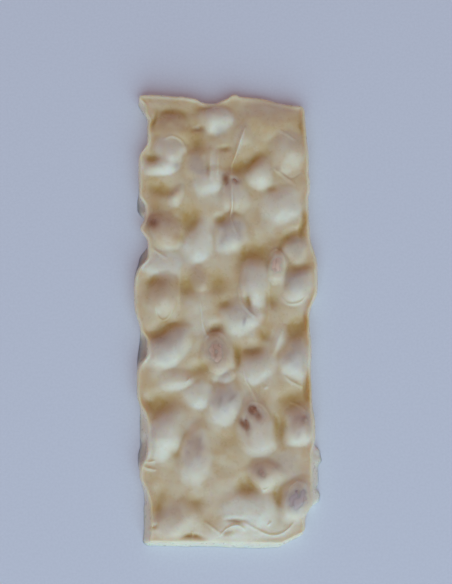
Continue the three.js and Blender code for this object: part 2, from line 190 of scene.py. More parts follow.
# ---- Nuts: place, half sizes and turn from +X, how high the chocolate rises over each, and its looks:
# how milky the chocolate is over it, partly a painted highlight on its lit side, how strongly the nut shows
# through, and how reddish it shows ----
Nut = namedtuple("Nut", "x y half_length half_width turn rise milk show rose")
COVERED_NUTS = [
    Nut(-22, 85.4, 8, 7.4, 90, 3.6, 0.1, 0.5, 0.8),
    Nut(-23.4, 75.4, 7.2, 7.6, 0, 3.6, 0.8, 0.3, 0.3),
    Nut(-27.6, 68.6, 9, 4, 0, 2.2, 1, 0, 0.0),
    Nut(-3, 89.8, 7.8, 6.6, 10, 3.9, 0.9, 0.3, 0.0),
    Nut(10, 83, 5.6, 4.4, 80, 1.1, 0.3, 0.2, 0.2),
    Nut(29, 74.6, 9.8, 8, 90, 3, 0.35, 0.3, 0.2),
    Nut(16.2, 64.8, 7, 5.6, 100, 2.8, 0.7, 0.1, 0.0),
    Nut(-11, 68.6, 7.4, 6, 90, 1.5, 0.1, 0.9, 0.3),
    Nut(-5.6, 61.2, 8, 5.8, 15, 1.9, 0.9, 0.1, 0.0),
    Nut(-20.6, 54.6, 5.4, 3, 66, 1.5, 0.5, 0.1, 0.2),
    Nut(26, 50, 9.6, 8, 10, 2.4, 0.8, 0.2, 0.1),
    Nut(3.6, 38, 9, 7.4, 85, 3, 0.75, 0.8, 0.1),
    Nut(-11.6, 34, 9, 7.4, 75, 1.9, 1, 0.05, 0.0),
    Nut(-26.6, 25.4, 9.4, 6.4, 175, 1, 1, 0.1, 0.0),
    Nut(-26.2, 11.8, 9.4, 7.2, 85, 3.8, 0.3, 0.4, 0.5),
    Nut(-11.4, 17.8, 5.4, 3.8, 100, 1.3, 0.0, 0.6, 0.5),
    Nut(13.4, 15.8, 11.4, 6.8, 88, 4, 0.85, 0.3, 0.0),
    Nut(32.6, 31, 6.4, 6, 0, 1.4, 0.3, 0.6, 0.1),
    Nut(31.6, 15.3, 8.6, 8.2, 30, 3.6, 0.7, 0.8, 0.0),
    Nut(7.4, 0.8, 9, 7.6, 10, 2.6, 0.8, 0.5, 0.0),
    Nut(-25.2, -11, 11.8, 7.8, 33, 3.7, 0.85, 0.8, 0.15),
    Nut(14.2, -20.6, 9.2, 7.2, 10, 1.7, 0.8, 0.3, 0.2),
    Nut(31, -17.6, 9, 7.2, 80, 2.9, 0.85, 0.7, 0.0),
    Nut(-21.6, -26, 7.4, 5, 5, 1.4, 0.7, 0.1, 0.0),
    Nut(0.9, -25, 4.2, 3.6, 0, 1.8, 0.6, 0.6, 0.0),
    Nut(-0.4, -35.8, 9.2, 7.8, 75, 3.2, 0.95, 0.7, 0.0),
    Nut(-11.6, -32.6, 8, 5.6, 0, 1.6, 0.95, 0.0, 0.0),
    Nut(-27.2, -48.6, 12, 7.6, 62, 3.7, 0.95, 0.25, 0.1),
    Nut(31.4, -46.8, 8.4, 7.2, 85, 3.5, 0.8, 0.8, 0.5),
    Nut(-14, -57.6, 12.8, 7, 76, 3.2, 0.7, 0.8, 0.4),
    Nut(25.8, -63, 9, 7, 60, 0.5, 0.5, 0.4, 0.4),
    Nut(-24.6, -86, 10.4, 9, 10, 1.7, 0.35, 0.4, 0.5),
    Nut(10, -82, 13, 8.6, 5, 1.3, 1, 0.0, 0.0),
    Nut(22, 88, 16, 8.6, 175, 2, 0.0, 0.0, 0.0),
]
Oval = namedtuple("Oval", "x y half_length half_width turn")
# Nuts that show: the CAD node, the nut, and its openings (place, half sizes and turn).
BARE_NUTS = {
    "nut_upper_left": (Nut(-26.4, 39.4, 9.8, 7, 135, 3.8, 0.2, 0.6, 0.6),
                       [Oval(-31.4, 43.1, 1.9, 1.3, 10)]),
    "nut_upper_middle": (Nut(4.6, 56.4, 9.6, 6.2, 95, 3.6, 0.6, 0.5, 0.3),
                         [Oval(1.6, 61.6, 3, 1.4, 95), Oval(6.2, 61.2, 1.8, 1.3, 10)]),
    "nut_middle_right": (Nut(23.2, 22.6, 8, 5, 80, 3.2, 0.5, 0.2, 0.8), [Oval(23.2, 22.8, 4, 2.2, 80)]),
    "nut_centre": (Nut(-3.6, -15.9, 10.2, 7, 100, 3.6, 0.6, 0.6, 1.0), [Oval(-4, -14.4, 5.4, 3, 104)]),
    "nut_lower_middle": (Nut(12.5, -46.8, 13, 8, 97, 4, 0.8, 0.4, 0.6),
                         [Oval(11.1, -39.2, 3, 2, 115), Oval(8.3, -46.2, 2.8, 1.4, 105)]),
    "nut_lower_right": (Nut(16.3, -68, 8, 7.2, 20, 3, 0.6, 0.2, 0.6),
                        [Oval(14.8, -66.8, 1.9, 1.2, 110)]),
    "nut_corner": (Nut(29.8, -78.6, 9.8, 7.4, 69, 3.6, 0.7, 0.8, 0.1), [Oval(30, -78.2, 4.8, 3.4, 69)]),
}
ALL_NUTS = COVERED_NUTS + [nut for nut, _ in BARE_NUTS.values()]
# How milky and grey each bare nut's skin is, and how grey and rose the thin chocolate over it shows.
Veil = namedtuple("Veil", "milk grey film_grey film_rose")
KERNEL_VEILS = {
    "nut_upper_left": Veil(0.0, 0.0, 0.0, 1.0),
    "nut_upper_middle": Veil(0.05, 0.0, 0.3, 0.4),
    "nut_middle_right": Veil(0.9, 0.0, 0.0, 0.25),
    "nut_centre": Veil(0.6, 0.0, 0.0, 0.6),
    "nut_lower_middle": Veil(0.0, 0.0, 0.2, 1.0),
    "nut_lower_right": Veil(0.5, 0.1, 0.2, 0.35),
    "nut_corner": Veil(0.6, 0.8, 0.9, 0.1),
}
# Places where the lip along the edge fades out, the far one first.
LIP_GAPS = [Oval(20, 98, 18, 9, 0), Oval(0, -98, 70, 8, 0)]
# Ups and downs of the top that no nut makes, most of them far wider than a nut.
Land = namedtuple("Land", "x y half_length half_width turn rise")
LAND = [
    Land(20, 98, 24, 11, 0, -2.1),
    Land(-20, 100, 22, 9, 0, -0.9),
    Land(-3, 71, 6, 9, 0, 1.4),
    Land(-2, 50, 14, 9, 90, 0.8),
    Land(-2, -97, 44, 6, 0, -0.9),
]
# Hollows between the nuts. The CAD solid has the first list; the second is too fine for it.
Hollow = namedtuple("Hollow", "x y half_length half_width turn depth")
HOLLOWS = [
    Hollow(-27.9, 57.7, 7, 4, 0, 1.7),
    Hollow(-31.6, 71, 3.6, 2.6, 0, 1.6),
    Hollow(-14.8, 45.2, 6.4, 4.4, 90, 1.9),
    Hollow(-0.4, 43.9, 3.4, 3, 0, 1.6),
    Hollow(11, 70, 9, 4, 34, 2.5),
    Hollow(-10.8, 78.6, 3.8, 5.4, 0, 1.3),
    Hollow(-22, 92.6, 9, 2.4, -5, 1),
    Hollow(-7, 94, 4.4, 2, 0, 1.1),
    Hollow(-29.4, 16, 6.6, 4, 0, 1.6),
    Hollow(-15.6, 14.6, 6, 4.4, 90, 1.7),
    Hollow(-2.4, 16, 6.6, 5, 90, 1.6),
    Hollow(0.3, 6.4, 3.4, 3, 0, 1.3),
    Hollow(13.4, 29, 7.6, 4.8, 10, 1.8),
    Hollow(7, 25, 4.4, 2.4, 50, 0.6),
    Hollow(29.5, 35.8, 7, 3.3, 10, 1.7),
    Hollow(32, 21.6, 7, 2.6, 20, 1.4),
    Hollow(21, 7.6, 4.4, 3, 90, 1.2),
    Hollow(-27.4, -5, 9, 4, 25, 2.4),
    Hollow(-4.3, -4.4, 3.6, 2.6, 0, 1.7),
    Hollow(10.5, -13.8, 6, 4.4, 0, 1.7),
    Hollow(18.4, -6.8, 4.4, 3, 90, 1.3),
    Hollow(31.2, -4.6, 7.2, 4.4, 80, 2.1),
    Hollow(-29.6, -36.6, 8.2, 5, 5, 2.2),
    Hollow(22.4, -47, 7, 2.6, 90, 1.8),
    Hollow(28.8, -35.4, 7, 5, 20, 2.2),
    Hollow(-20.6, -46.6, 5, 3, 80, 0.5),
    Hollow(8, -72.6, 5, 4.2, 0, 1.8),
    Hollow(22, -77.6, 5, 2.8, 80, 1.6),
    Hollow(-30.4, -79.6, 6.8, 4, 80, 1.4),
    Hollow(-13.5, -79.6, 5, 4.4, 0, 1.2),
    Hollow(-9.6, -21.6, 8, 3, 5, 1.1),
]
PITS = [
    Hollow(-30.3, 88.7, 3.8, 1.1, 80, 1.8),
    Hollow(-11.2, 84.8, 2.6, 1.2, 0, 0.9),
    Hollow(-6.4, 66.6, 1.2, 5, 3, 0.6),
    Hollow(-21.4, 35.6, 3.6, 2.2, 30, 0.9),
    Hollow(26.4, 15.6, 3.4, 1.6, 80, 0.8),
    Hollow(-23.4, -58.6, 3, 3.6, 0, 0.7),
    Hollow(0.9, 75.8, 2.8, 1.8, 15, 1),
    Hollow(21.8, 57.6, 2, 1.7, 0, 0.7),
    Hollow(35.7, 85.3, 5, 0.9, 90, 0.9),
    Hollow(35.2, 41.2, 6.4, 1.4, 88, 1.6),
    Hollow(25.1, 30.4, 3.6, 1.5, 80, 1),
    Hollow(9.6, 8, 3.6, 1.3, 100, 1.2),
    Hollow(34.8, -2, 5, 1.4, 92, 1.5),
    Hollow(4.6, -16.4, 5.6, 1.6, 92, 1.1),
    Hollow(35, -31, 7, 1.6, 90, 1.7),
    Hollow(-32, -89.8, 1.7, 0.9, 10, 1.3),
    Hollow(-15.6, -94.2, 3.8, 1.1, 0, 1.0),
    Hollow(2.6, -87, 3.2, 1, 5, 0.9),
    Hollow(-0.2, -92.2, 2, 1.1, 20, 0.6),
]
# Places where the left wall falls steeply to a thin foot and is greyed by painted shade: where along it,
# reach and strength.
STEEP_SHADED_PLACES = [(53, 5, 0.9), (28, 9, 0.9), (-13, 6, 0.9), (-58, 5, 0.5)]
STEEP_LIMIT = -25.0  # only a wall to the left of this is steep
STEEP_POWER = 4.0  # how late a steep wall runs out to its foot
# Low waves over the whole top: height, then millimetres to a radian across and along the bar.
WAVES = [(0.25, 7, 19), (0.2, -23, 8.5)]
WAVE_DROP = 0.3  # how far the waves' middle lies below the slab's height
# Layers of noise: height (round an opening, share of its size), width of a hill, and seed.
TOP_NOISE = [(0.35, 9, 4), (0.25, 5.5, 1), (0.06, 2.4, 2)]
RAGGED_NOISE = [(0.22, 1.6, 5), (0.1, 0.8, 6)]
# Small ridges left by the pouring: height (below zero for a groove), half width, then the line they follow.
CREASES = [
    (1.4, 0.7, [(10.8, 85.4), (7.9, 77.6), (6, 72.2), (4, 67.2)]),
    (1.1, 0.5, [(4.4, 68.4), (3.9, 61.8), (4.2, 49.8), (3.2, 44), (6.1, 36.4)]),
    (0.75, 0.8, [(-5, 76), (-5.3, 61.2)]),
    (0.68, 0.8, [(-1.8, 76), (-2, 61)]),
    (0.36, 0.6, [(26.1, 83), (33.5, 78)]),
    (0.42, 0.6, [(21.7, 67.3), (24.3, 65), (33, 58.2)]),
    (0.75, 0.5, [(-33.4, 34.8), (-31.7, 31.7), (-28.2, 29), (-24.7, 26.7)]),
    (0.75, 0.5, [(-11.4, 10.2), (-10.2, 3.6), (-9.9, -1.6), (-8.6, -6.4), (-6.9, -8.3)]),
    (0.75, 0.9, [(-19.6, 23), (-19.8, 3.8)]),
    (0.75, 0.5, [(5.8, 14.2), (7, 7.7), (10, 3.3), (14.2, -0.4)]),
    (0.45, 0.6, [(20, 24), (19.7, 7.5), (18.6, -3.4)]),
    (0.8, 1.6, [(26.6, -3), (23.4, -10), (20.6, -16.6)]),
    (0.75, 0.5, [(7.3, -20.6), (8.5, -27.1), (11, -31.5), (13.4, -36.7)]),
    (0.75, 0.5, [(25.4, -25.4), (28.4, -28), (34, -31)]),
    (0.9, 0.5, [(-38, 0.5), (-36.4, -4.6), (-33, -9.5)]),
    (0.75, 0.5, [(-38, -35), (-36.3, -38.5), (-34.2, -42.8)]),
    (0.92, 0.45, [(-37.8, -60.6), (-34, -61.6), (-31, -61.2)]),
    (1.03, 0.45, [(-38.6, -61.6), (-35.4, -64), (-30.8, -65.2)]),
    (0.75, 0.3, [(33.4, -43.4), (35.6, -45.8)]),
    (0.9, 0.5, [(-4, -93.8), (-0.5, -90.5), (3.8, -89), (7.2, -91.2)]),
    (0.75, 0.5, [(6, -87.3), (12.3, -91.2), (18.4, -93.8), (23.8, -92.6), (28.7, -88.1)]),
    (0.6, 0.5, [(-10.2, -87.4), (-3, -93)]),
    (0.75, 0.5, [(-37.5, -68.4), (-34.5, -73.5), (-33.3, -79)]),
    (0.52, 0.5, [(25.2, -74.5), (30, -70.8), (34.2, -72.5)]),
    (0.75, 0.45, [(30.8, -75.4), (33.2, -76.8), (35.4, -78.5)]),
    (0.75, 0.5, [(10.3, -68.7), (12.7, -71), (15.3, -74.3), (18.8, -72.7), (21.9, -70.2)]),
    (0.6, 0.5, [(-30.6, 6.2), (-29.8, 2.2), (-27.6, -0.4), (-25, 0.4), (-22.8, 3.9), (-21, 8.2)]),
    (0.8, 0.4, [(-17, -27.6), (-16.2, -26.6), (-15.4, -25.4)]),
    (0.45, 0.6, [(16.4, -31), (17.4, -30.2), (18.4, -30.4)]),
    (0.7, 0.4, [(17, -89.8), (17.6, -88.8), (18.4, -88)]),
    (0.7, 0.4, [(-15.8, -94.2), (-15.4, -93), (-15.8, -91.6)]),
    (0.45, 0.5, [(-26.4, 79.6), (-21.6, 81), (-17.4, 78.6), (-16, 73.6), (-18.4, 70)]),
    (0.6, 0.5, [(20, 28), (23, 30), (26, 27.6), (26.8, 22), (25.4, 17)]),
    (0.6, 0.5, [(24.4, 9.4), (28, 6), (33, 6.4), (37, 10.4)]),
    (0.6, 0.5, [(-9, -9.6), (-6.6, -6.6), (-2.6, -6.2), (0.6, -9)]),
    (0.5, 0.5, [(10.4, -36.8), (15, -37.6), (18.4, -42.4), (18, -48)]),
    (0.5, 0.5, [(27.4, -36.8), (32, -38.8), (35.4, -42)]),
    (-0.36, 0.5, [(26.6, 65), (30, 61.8), (34, 63.5), (36, 66.7)]),
]
# Places where the chocolate is thin enough to show the nut's grey, red or dark brown, and how strongly.
Spot = namedtuple("Spot", "x y half_length half_width turn strength")
GREY_SPOTS = [
    Spot(-11.2, -53.3, 3.4, 1.3, 75, 0.9),
    Spot(-12.6, -60, 3, 1.3, 60, 0.9),
    Spot(-2.8, -36.4, 3.2, 1.3, 90, 0.8),
    Spot(2, -34.7, 3.4, 1.6, 60, 0.7),
    Spot(8.2, -1.4, 3, 1.4, 90, 1.0),
    Spot(0.2, 34.2, 4, 2, 85, 0.6),
    Spot(-0.5, 84.5, 3.4, 2.4, 40, 0.5),
    Spot(33, -44.4, 3.4, 2.6, 60, 0.8),
    Spot(29.6, -15, 0.5, 0.5, 0, 1.0),
    Spot(-19.8, 68.2, 2, 1.2, 110, 0.5),
]
RED_SPOTS = [
    Spot(24, 66.8, 1.6, 1.2, 0, 0.5),
    Spot(-11, 84.6, 3.4, 2, 160, 0.6),
    Spot(-31, 42.2, 5.4, 4.6, 120, 1.0),
    Spot(-4.2, -5.6, 3.2, 1.6, 0, 0.7),
    Spot(4.2, 44.8, 3.2, 1.2, 60, 0.5),
    Spot(13.6, -43, 4.2, 2.8, 110, 0.9),
    Spot(11.4, -13.4, 4.4, 2.6, 0, 0.35),
    Spot(14.2, -66.4, 4.4, 3.4, 110, 0.4),
    Spot(34.6, -46, 2.4, 1.6, 110, 0.6),
    Spot(1.4, 60.9, 2.4, 1.8, 80, 1.0),
    Spot(6.8, 60.2, 2.2, 1.8, 0, 0.7),
    Spot(7.4, -46.6, 3, 1.8, 115, 0.9),
    Spot(22.6, 18, 3, 2.4, 0, 0.35),
]
DARK_SPOTS = [
    Spot(-31.6, 43, 2.4, 2.2, 0, 0.9),
    Spot(1.4, 61.2, 1.6, 1.4, 80, 0.7),
    Spot(7.2, -46.2, 2.4, 1.1, 110, 0.8),
    Spot(11, -39.6, 2.6, 1.6, 120, 0.6),
    Spot(13.6, -42, 2, 1.4, 120, 0.4),
    Spot(14.4, -67.3, 2.8, 2, 110, 0.4),
    Spot(-2.3, -36.7, 3, 1, 90, 0.25),
    Spot(2.5, -34.3, 3, 1, 55, 0.25),
    Spot(8, -1.2, 2.6, 0.9, 90, 0.25),
    Spot(-12.5, -53.3, 3.2, 1.2, 75, 0.2),
    Spot(-13.4, -59.2, 2.8, 1.1, 60, 0.2),
    Spot(32.9, -44.6, 2.8, 1.6, 60, 0.25),
    Spot(30.4, -50.4, 2.2, 0.9, 80, 0.2),
    Spot(0.8, 34.6, 3, 1.4, 85, 0.2),
]
# Places where the chocolate is whiter, or more yellow, than the nuts and hollows there make it; the whiter
# places are partly painted highlights on lit slopes and ridges, the yellower ones partly painted shade.
MILKY_AND_HIGHLIGHT_SPOTS = [
    Spot(-3, 40, 16, 7, 35, 0.7),
    Spot(-12, 2, 6, 14, 0, 0.7),
    Spot(-4, -8, 9, 5, 0, 0.6),
    Spot(21.6, -48, 2.6, 20, 0, 0.6),
    Spot(-18, -46, 7, 4, 30, 0.6),
    Spot(6, -94, 26, 5, 0, 0.9),
    Spot(26, -92, 10, 6, 0, 0.7),
    Spot(4, -78, 18, 8, 0, 0.5),
    Spot(28, -68, 7, 5, 0, 0.5),
    Spot(-29, -22, 6, 5, 0, 0.5),
    Spot(18.6, -20, 3.4, 12, 0, 0.7),
    Spot(-30, -17.6, 8, 3, 10, 1.0),
    Spot(-18, 27, 18, 6, 0, 0.9),
    Spot(-11, 33, 7, 9, 0, 0.9),
    Spot(25.5, 46, 9, 8, 0, 0.7),
    Spot(-33, 88, 2.5, 9, 0, 0.6),
    Spot(-29.5, 66, 8, 3, 0, 0.9),
    Spot(-3, 58.5, 12, 6, 0, 0.9),
    Spot(-2, 89, 6, 5, 0, 0.6),
    Spot(22, 94, 17, 5, 0, 0.5),
    Spot(8.4, 78.8, 8, 1.3, 70, 0.9),
    Spot(-3.4, 68.4, 8, 2, 90, 0.8),
    Spot(4, 52, 14, 0.9, 90, 1.0),
    Spot(20.8, -8, 10, 1.2, 62, 0.6),
    Spot(-27, 95, 10, 3, 0, 0.4),
    Spot(-3, 54, 4, 4, 0, 0.9),
    Spot(-26, 29.6, 9, 3.6, 0, 1.0),
    Spot(-9, 40.6, 5, 5, 0, 0.9),
    Spot(34, 3.4, 4, 3.4, 0, 0.8),
    Spot(24.2, -9, 9, 3, 62, 1.0),
    Spot(-9, -4, 12, 4, 5, 0.9),
    Spot(9, -22, 4, 4, 0, 0.7),
    Spot(7.8, -34, 3, 6, 0, 0.9),
    Spot(-20, -45.6, 8, 4, 0, 0.9),
    Spot(26, -82, 3.6, 12, 0, 1.0),
    Spot(-5, -95, 8, 2.4, 0, 1.0),
    Spot(22, 26.4, 3, 3, 0, 0.9),
    Spot(21.6, -84.4, 4.4, 3.4, 0, 1.0),
]
# Partly painted shade: amber laid on slopes turned away from the light and in hollows, where the chocolate
# is also thicker.
AMBER_AND_SHADE_SPOTS = [
    Spot(-18, 85, 12, 7, 0, 0.5),
    Spot(-31.4, 63, 4, 4, 0, 0.45),
    Spot(15, 80, 8, 6, 0, 0.2),
    Spot(3, -50, 7, 10, 0, 0.25),
    Spot(17, -6.6, 5, 2, 60, 0.5),
    Spot(32, -4, 4.6, 7, 0, 0.3),
    Spot(-27.4, -5, 9, 4, 25, 0.2),
    Spot(4.6, -16.4, 5.6, 1.8, 92, 0.3),
    Spot(-29.5, 49.5, 3.6, 3, 0, 0.6),
    Spot(14.6, 29, 7, 6, 0, 0.2),
    Spot(-22, 95, 14, 5, 0, 0.25),
    Spot(21.5, 89, 16, 5, 0, 0.15),
    Spot(9, 67, 6, 4, 30, 0.3),
    Spot(-17, 46.6, 4, 4, 0, 0.4),
    Spot(-15.6, -94.2, 4, 1.2, 0, 0.7),
    Spot(35, 83, 3, 9, 0, 0.4),
    Spot(35.6, 42, 1.6, 7, 0, 0.5),
    Spot(35.6, -31, 1.6, 7, 0, 0.5),
    Spot(5.4, 47.4, 4, 4, 0, 0.4),
    Spot(1.2, 60.9, 2.6, 2, 80, 0.7),
]


# ---- Outline functions ----
def mix(a, b, share):
    return a + (b - a) * share


def smoothstep(low, high, value):
    share = np.clip((value - low) / (high - low), 0.0, 1.0)
    return share * share * (3 - 2 * share)


def corner_pull(distance):
    """How far a rounded corner pulls a side in, at a distance along the side from the corner."""
    near = np.clip(CORNER_RADIUS - distance, 0.0, CORNER_RADIUS)
    return CORNER_RADIUS - np.sqrt(CORNER_RADIUS**2 - near**2)


def corner_of(long_side, long_sign, end_side, end_sign):
    """Where two sides meet, each coordinate worked out from the other in turn."""
    x, y = 0.0, end_sign * HALF_LENGTH
    for _ in range(CORNER_ROUNDS):
        x = long_sign * float(long_side.distance(y))
        y = end_sign * float(end_side.distance(x))
    return x, y


def outline_curves(sides, across, along):
    """The four side curves at the given shares, each an array of points."""
    near_left = corner_of(sides["left"], -1, sides["near"], -1)
    near_right = corner_of(sides["right"], 1, sides["near"], -1)
    far_left = corner_of(sides["left"], -1, sides["far"], 1)
    far_right = corner_of(sides["right"], 1, sides["far"], 1)

    def lengthwise(side, sign, start, end):
        y = mix(start[1] + CORNER_INSET, end[1] - CORNER_INSET, along)
        pull = corner_pull(y - start[1]) + corner_pull(end[1] - y)
        return np.stack([sign * (side.distance(y) - pull), y], axis=1)

    def crosswise(side, sign, start, end):
        x = mix(start[0] + CORNER_INSET, end[0] - CORNER_INSET, across)
        pull = corner_pull(x - start[0]) + corner_pull(end[0] - x)
        return np.stack([x, sign * (side.distance(x) - pull)], axis=1)

    return {
        "left": lengthwise(sides["left"], -1, near_left, far_left),
        "right": lengthwise(sides["right"], 1, near_right, far_right),
        "near": crosswise(sides["near"], -1, near_left, near_right),
        "far": crosswise(sides["far"], 1, far_left, far_right),
    }


def spanned_grid(curves, across, along):
    """Points inside an outline, spanned between its four sides (a Coons patch)."""
    u = across[None, :, None]
    v = along[:, None, None]
    ends = mix(curves["near"][None], curves["far"][None], v)
    sides = mix(curves["left"][:, None], curves["right"][:, None], u)
    near_corners = mix(curves["near"][0], curves["near"][-1], u)
    far_corners = mix(curves["far"][0], curves["far"][-1], u)
    return ends + sides - mix(near_corners, far_corners, v)


def inset_of(x, y):
    """How far a point lies inside the rim, measured straight along X or Y."""
    to_left = x + RIM["left"].distance(y)
    to_right = RIM["right"].distance(y) - x
    to_near = y + RIM["near"].distance(x)
    to_far = RIM["far"].distance(x) - y
    return np.maximum(0.0, np.minimum(np.minimum(to_left, to_right), np.minimum(to_near, to_far)))


# ---- Noise ----
LATTICE = 128  # random numbers along each side of the noise, before it repeats
LATTICE_START = (40.3, 60.7)  # where among them the bar's middle lies


def smooth_noise(x, y, cell, seed):
    """Seeded value noise between -1 and 1, with hills about one cell wide."""
    lattice = np.random.default_rng(seed).uniform(-1, 1, (LATTICE, LATTICE))
    column = x / cell + LATTICE_START[0]
    row = y / cell + LATTICE_START[1]
    left, near = np.floor(column).astype(int), np.floor(row).astype(int)
    across, along = smoothstep(0.0, 1.0, column - left), smoothstep(0.0, 1.0, row - near)
    left, right = left % LATTICE, (left + 1) % LATTICE
    near, far = near % LATTICE, (near + 1) % LATTICE
    near_value = mix(lattice[left, near], lattice[right, near], across)
    far_value = mix(lattice[left, far], lattice[right, far], across)
    return mix(near_value, far_value, along)


# ---- Height of the top ----
OVAL_FADE = 1.2  # how fast an oval feature fades away from its middle
CREASE_REACH = 6.0  # half widths beyond which a ridge is left out
CREASE_ROUNDING = 1.5  # how fast a ridge falls away beside its line
CREASE_TAPER = 0.6  # 0 cuts a ridge's ends off, 1 makes it a hump
# Where a change over a bare nut starts and ends, as shares of the kernel's or of the opening's size.
CROWN_EDGE = (0.6, 0.9)
THIN_FILM_EDGE = (0.9, 2.3)
OPENING_EDGE = (0.75, 1.1)


def local_place(feature, x, y):
    """A point in the frame of an oval feature: along and across it, as shares of its half size."""
    angle = math.radians(feature.turn)
    dx, dy = x - feature.x, y - feature.y
    along = (dx * math.cos(angle) + dy * math.sin(angle)) / feature.half_length
    across = (dy * math.cos(angle) - dx * math.sin(angle)) / feature.half_width
    return along, across


def nut_radius(nut, x, y):
    """0 at the middle of a nut, 1 at its outline."""
    along, across = local_place(nut, x, y)
    return np.hypot(along, across / (1 - NUT_TAPER * np.clip(along, -1, 1)))


def dome_over(nut, x, y):
    """How high the chocolate rises over a nut."""
    share = nut_radius(nut, x, y) / DOME_SPREAD
    return nut.rise * np.clip(1 - share**DOME_FULLNESS, 0.0, 1.0) ** 2


def kernel_radius(nut, x, y):
    """0 at the middle of a nut, 1 at the outline of the kernel inside its chocolate."""
    kernel = nut._replace(half_length=nut.half_length - SIDE_SKIN, half_width=nut.half_width - SIDE_SKIN)
    return nut_radius(kernel, x, y)


def kernel_top(nut, x, y):
    """Height of a bare nut's own skin, far below the chocolate beside the nut."""
    radius = kernel_radius(nut, x, y)
    fall = nut.half_width * NUT_FLATNESS * (1 - np.sqrt(np.clip(1 - radius**2, 0.0, 1.0)))
    return np.where(radius < 1, SLAB_HEIGHT + nut.rise - SKIN - fall, -SLAB_HEIGHT)


def oval_share(feature, x, y):
    """1 at the middle of an oval feature, fading outside it."""
    along, across = local_place(feature, x, y)
    return np.exp(-OVAL_FADE * (along**2 + across**2))


def rounded_line(points, steps=8):
    """More points along a line, on a Catmull-Rom curve through the given ones."""
    knots = np.array([points[0], *points, points[-1]], float)
    made = []
    for before, start, end, after in zip(knots, knots[1:], knots[2:], knots[3:]):
        for share in np.arange(steps) / steps:
            straight = (end - before) * share
            bend = (2 * before - 5 * start + 4 * end - after) * share**2
            twist = (3 * start - before - 3 * end + after) * share**3
            made.append(start + 0.5 * (straight + bend + twist))
    return np.array([*made, knots[-1]])


def crease_height(crease, x, y):
    """A ridge or groove along a line, strongest in the middle of its length."""
    height, half_width, points = crease
    line = rounded_line(points)
    lengths = np.r_[0.0, np.cumsum(np.linalg.norm(np.diff(line, axis=0), axis=1))]
    reach = CREASE_REACH * half_width
    low, high = line.min(axis=0) - reach, line.max(axis=0) + reach
    near = (x > low[0]) & (x < high[0]) & (y > low[1]) & (y < high[1])
    px, py = x[near], y[near]
    nearest = np.full(px.shape, np.inf)
    place = np.zeros(px.shape)
    for index, (start, end) in enumerate(zip(line, line[1:])):
        step = end - start
        share = ((px - start[0]) * step[0] + (py - start[1]) * step[1]) / max(step @ step, 1e-9)
        share = np.clip(share, 0.0, 1.0)
        distance = np.hypot(px - start[0] - share * step[0], py - start[1] - share * step[1])
        closer = distance < nearest
        nearest = np.where(closer, distance, nearest)
        place = np.where(closer, mix(lengths[index], lengths[index + 1], share), place)
    along = place / lengths[-1]
    fade = np.clip(4 * along * (1 - along), 0.0, 1.0) ** CREASE_TAPER
    made = np.zeros(x.shape)
    made[near] = height * fade / (1 + (nearest / half_width) ** 2) ** CREASE_ROUNDING
    return made


def warped(x, y):
    """Where a place lies before the flow pushes the lumps out of shape."""
    from_x = x + WARP * smooth_noise(x, y, WARP_CELL, seed=31)
    from_y = y + WARP * smooth_noise(x, y, WARP_CELL, seed=32)
    return from_x, from_y


def soft_max(a, b):
    """The larger of two heights, with a fillet where they cross."""
    overlap = np.maximum(0.0, FILLET - np.abs(a - b)) / FILLET
    return np.maximum(a, b) + 0.25 * FILLET * overlap**2


def open_up(height, x, y):
    """Thins the chocolate over the bare nuts and opens it where they show."""
    ragged = sum(size * smooth_noise(x, y, cell, seed) for size, cell, seed in RAGGED_NOISE)
    for nut, openings in BARE_NUTS.values():
        kernel = kernel_top(nut, x, y)
        height = soft_max(height, kernel + FILM)
        crown = 1 - smoothstep(*CROWN_EDGE, kernel_radius(nut, x, y))
        for opening in openings:
            radius = np.hypot(*local_place(opening, x, y)) + ragged
            thinned = crown * (1 - smoothstep(*THIN_FILM_EDGE, radius))
            opened = crown * (1 - smoothstep(*OPENING_EDGE, radius))
            height = mix(height, kernel + THIN_FILM, thinned)
            height = mix(height, kernel - OPENING_DIP, opened)
    return height


def top_height(x, y):
    """Height of the top above the floor."""
    wave = sum(size * np.sin(x / across + y / along) for size, across, along in WAVES)
    wx, wy = warped(x, y)
    domes = sum(dome_over(nut, wx, wy) ** FLOW_POWER for nut in ALL_NUTS)
    height = SLAB_HEIGHT - WAVE_DROP + wave + domes ** (1 / FLOW_POWER)
    for hollow in HOLLOWS + PITS:
        height = height - hollow.depth * oval_share(hollow, wx, wy)
    for size, cell, seed in TOP_NOISE:
        height = height + size * smooth_noise(x, y, cell, seed)
    for crease in CREASES:
        height = height + crease_height(crease, x, y)
    inset = inset_of(x, y)
    uneven_lip = 1 + LIP_UNEVENNESS * smooth_noise(x, y, cell=9, seed=3)
    for gap in LIP_GAPS:
        uneven_lip = uneven_lip * (1 - oval_share(gap, x, y))
    lip = LIP_HEIGHT * uneven_lip * np.exp(-(((inset - LIP_INSET) / LIP_WIDTH) ** 2))
    rounding = np.clip(1 - inset / SHOULDER, 0.0, 1.0) ** 2
    land = sum(rise.rise * oval_share(rise, x, y) for rise in LAND)
    height = mix(EDGE_HEIGHT, height, smoothstep(0.0, EDGE_BLEND, inset))
    return open_up(height + land + lip - SHOULDER_DROP * rounding, x, y)


# ---- Looks of each point of the top, with painted highlights and painted shade among them, which the chocolate's material reads ----
CLOUDS = 0.15  # how unevenly the patches over the nuts end, as a share of the nut's size
# Where a patch over a nut starts to fade and where it is gone, as shares of the nut's size.
MILKY_EDGE = (0.7, 1.35)
SHOW_EDGE = (0.3, 0.95)
MILKY_SHIFT_TO_LIT_SIDE = 0.2  # towards the near side, where the light comes from, so the milky patch is partly a painted highlight; in half widths of the nut
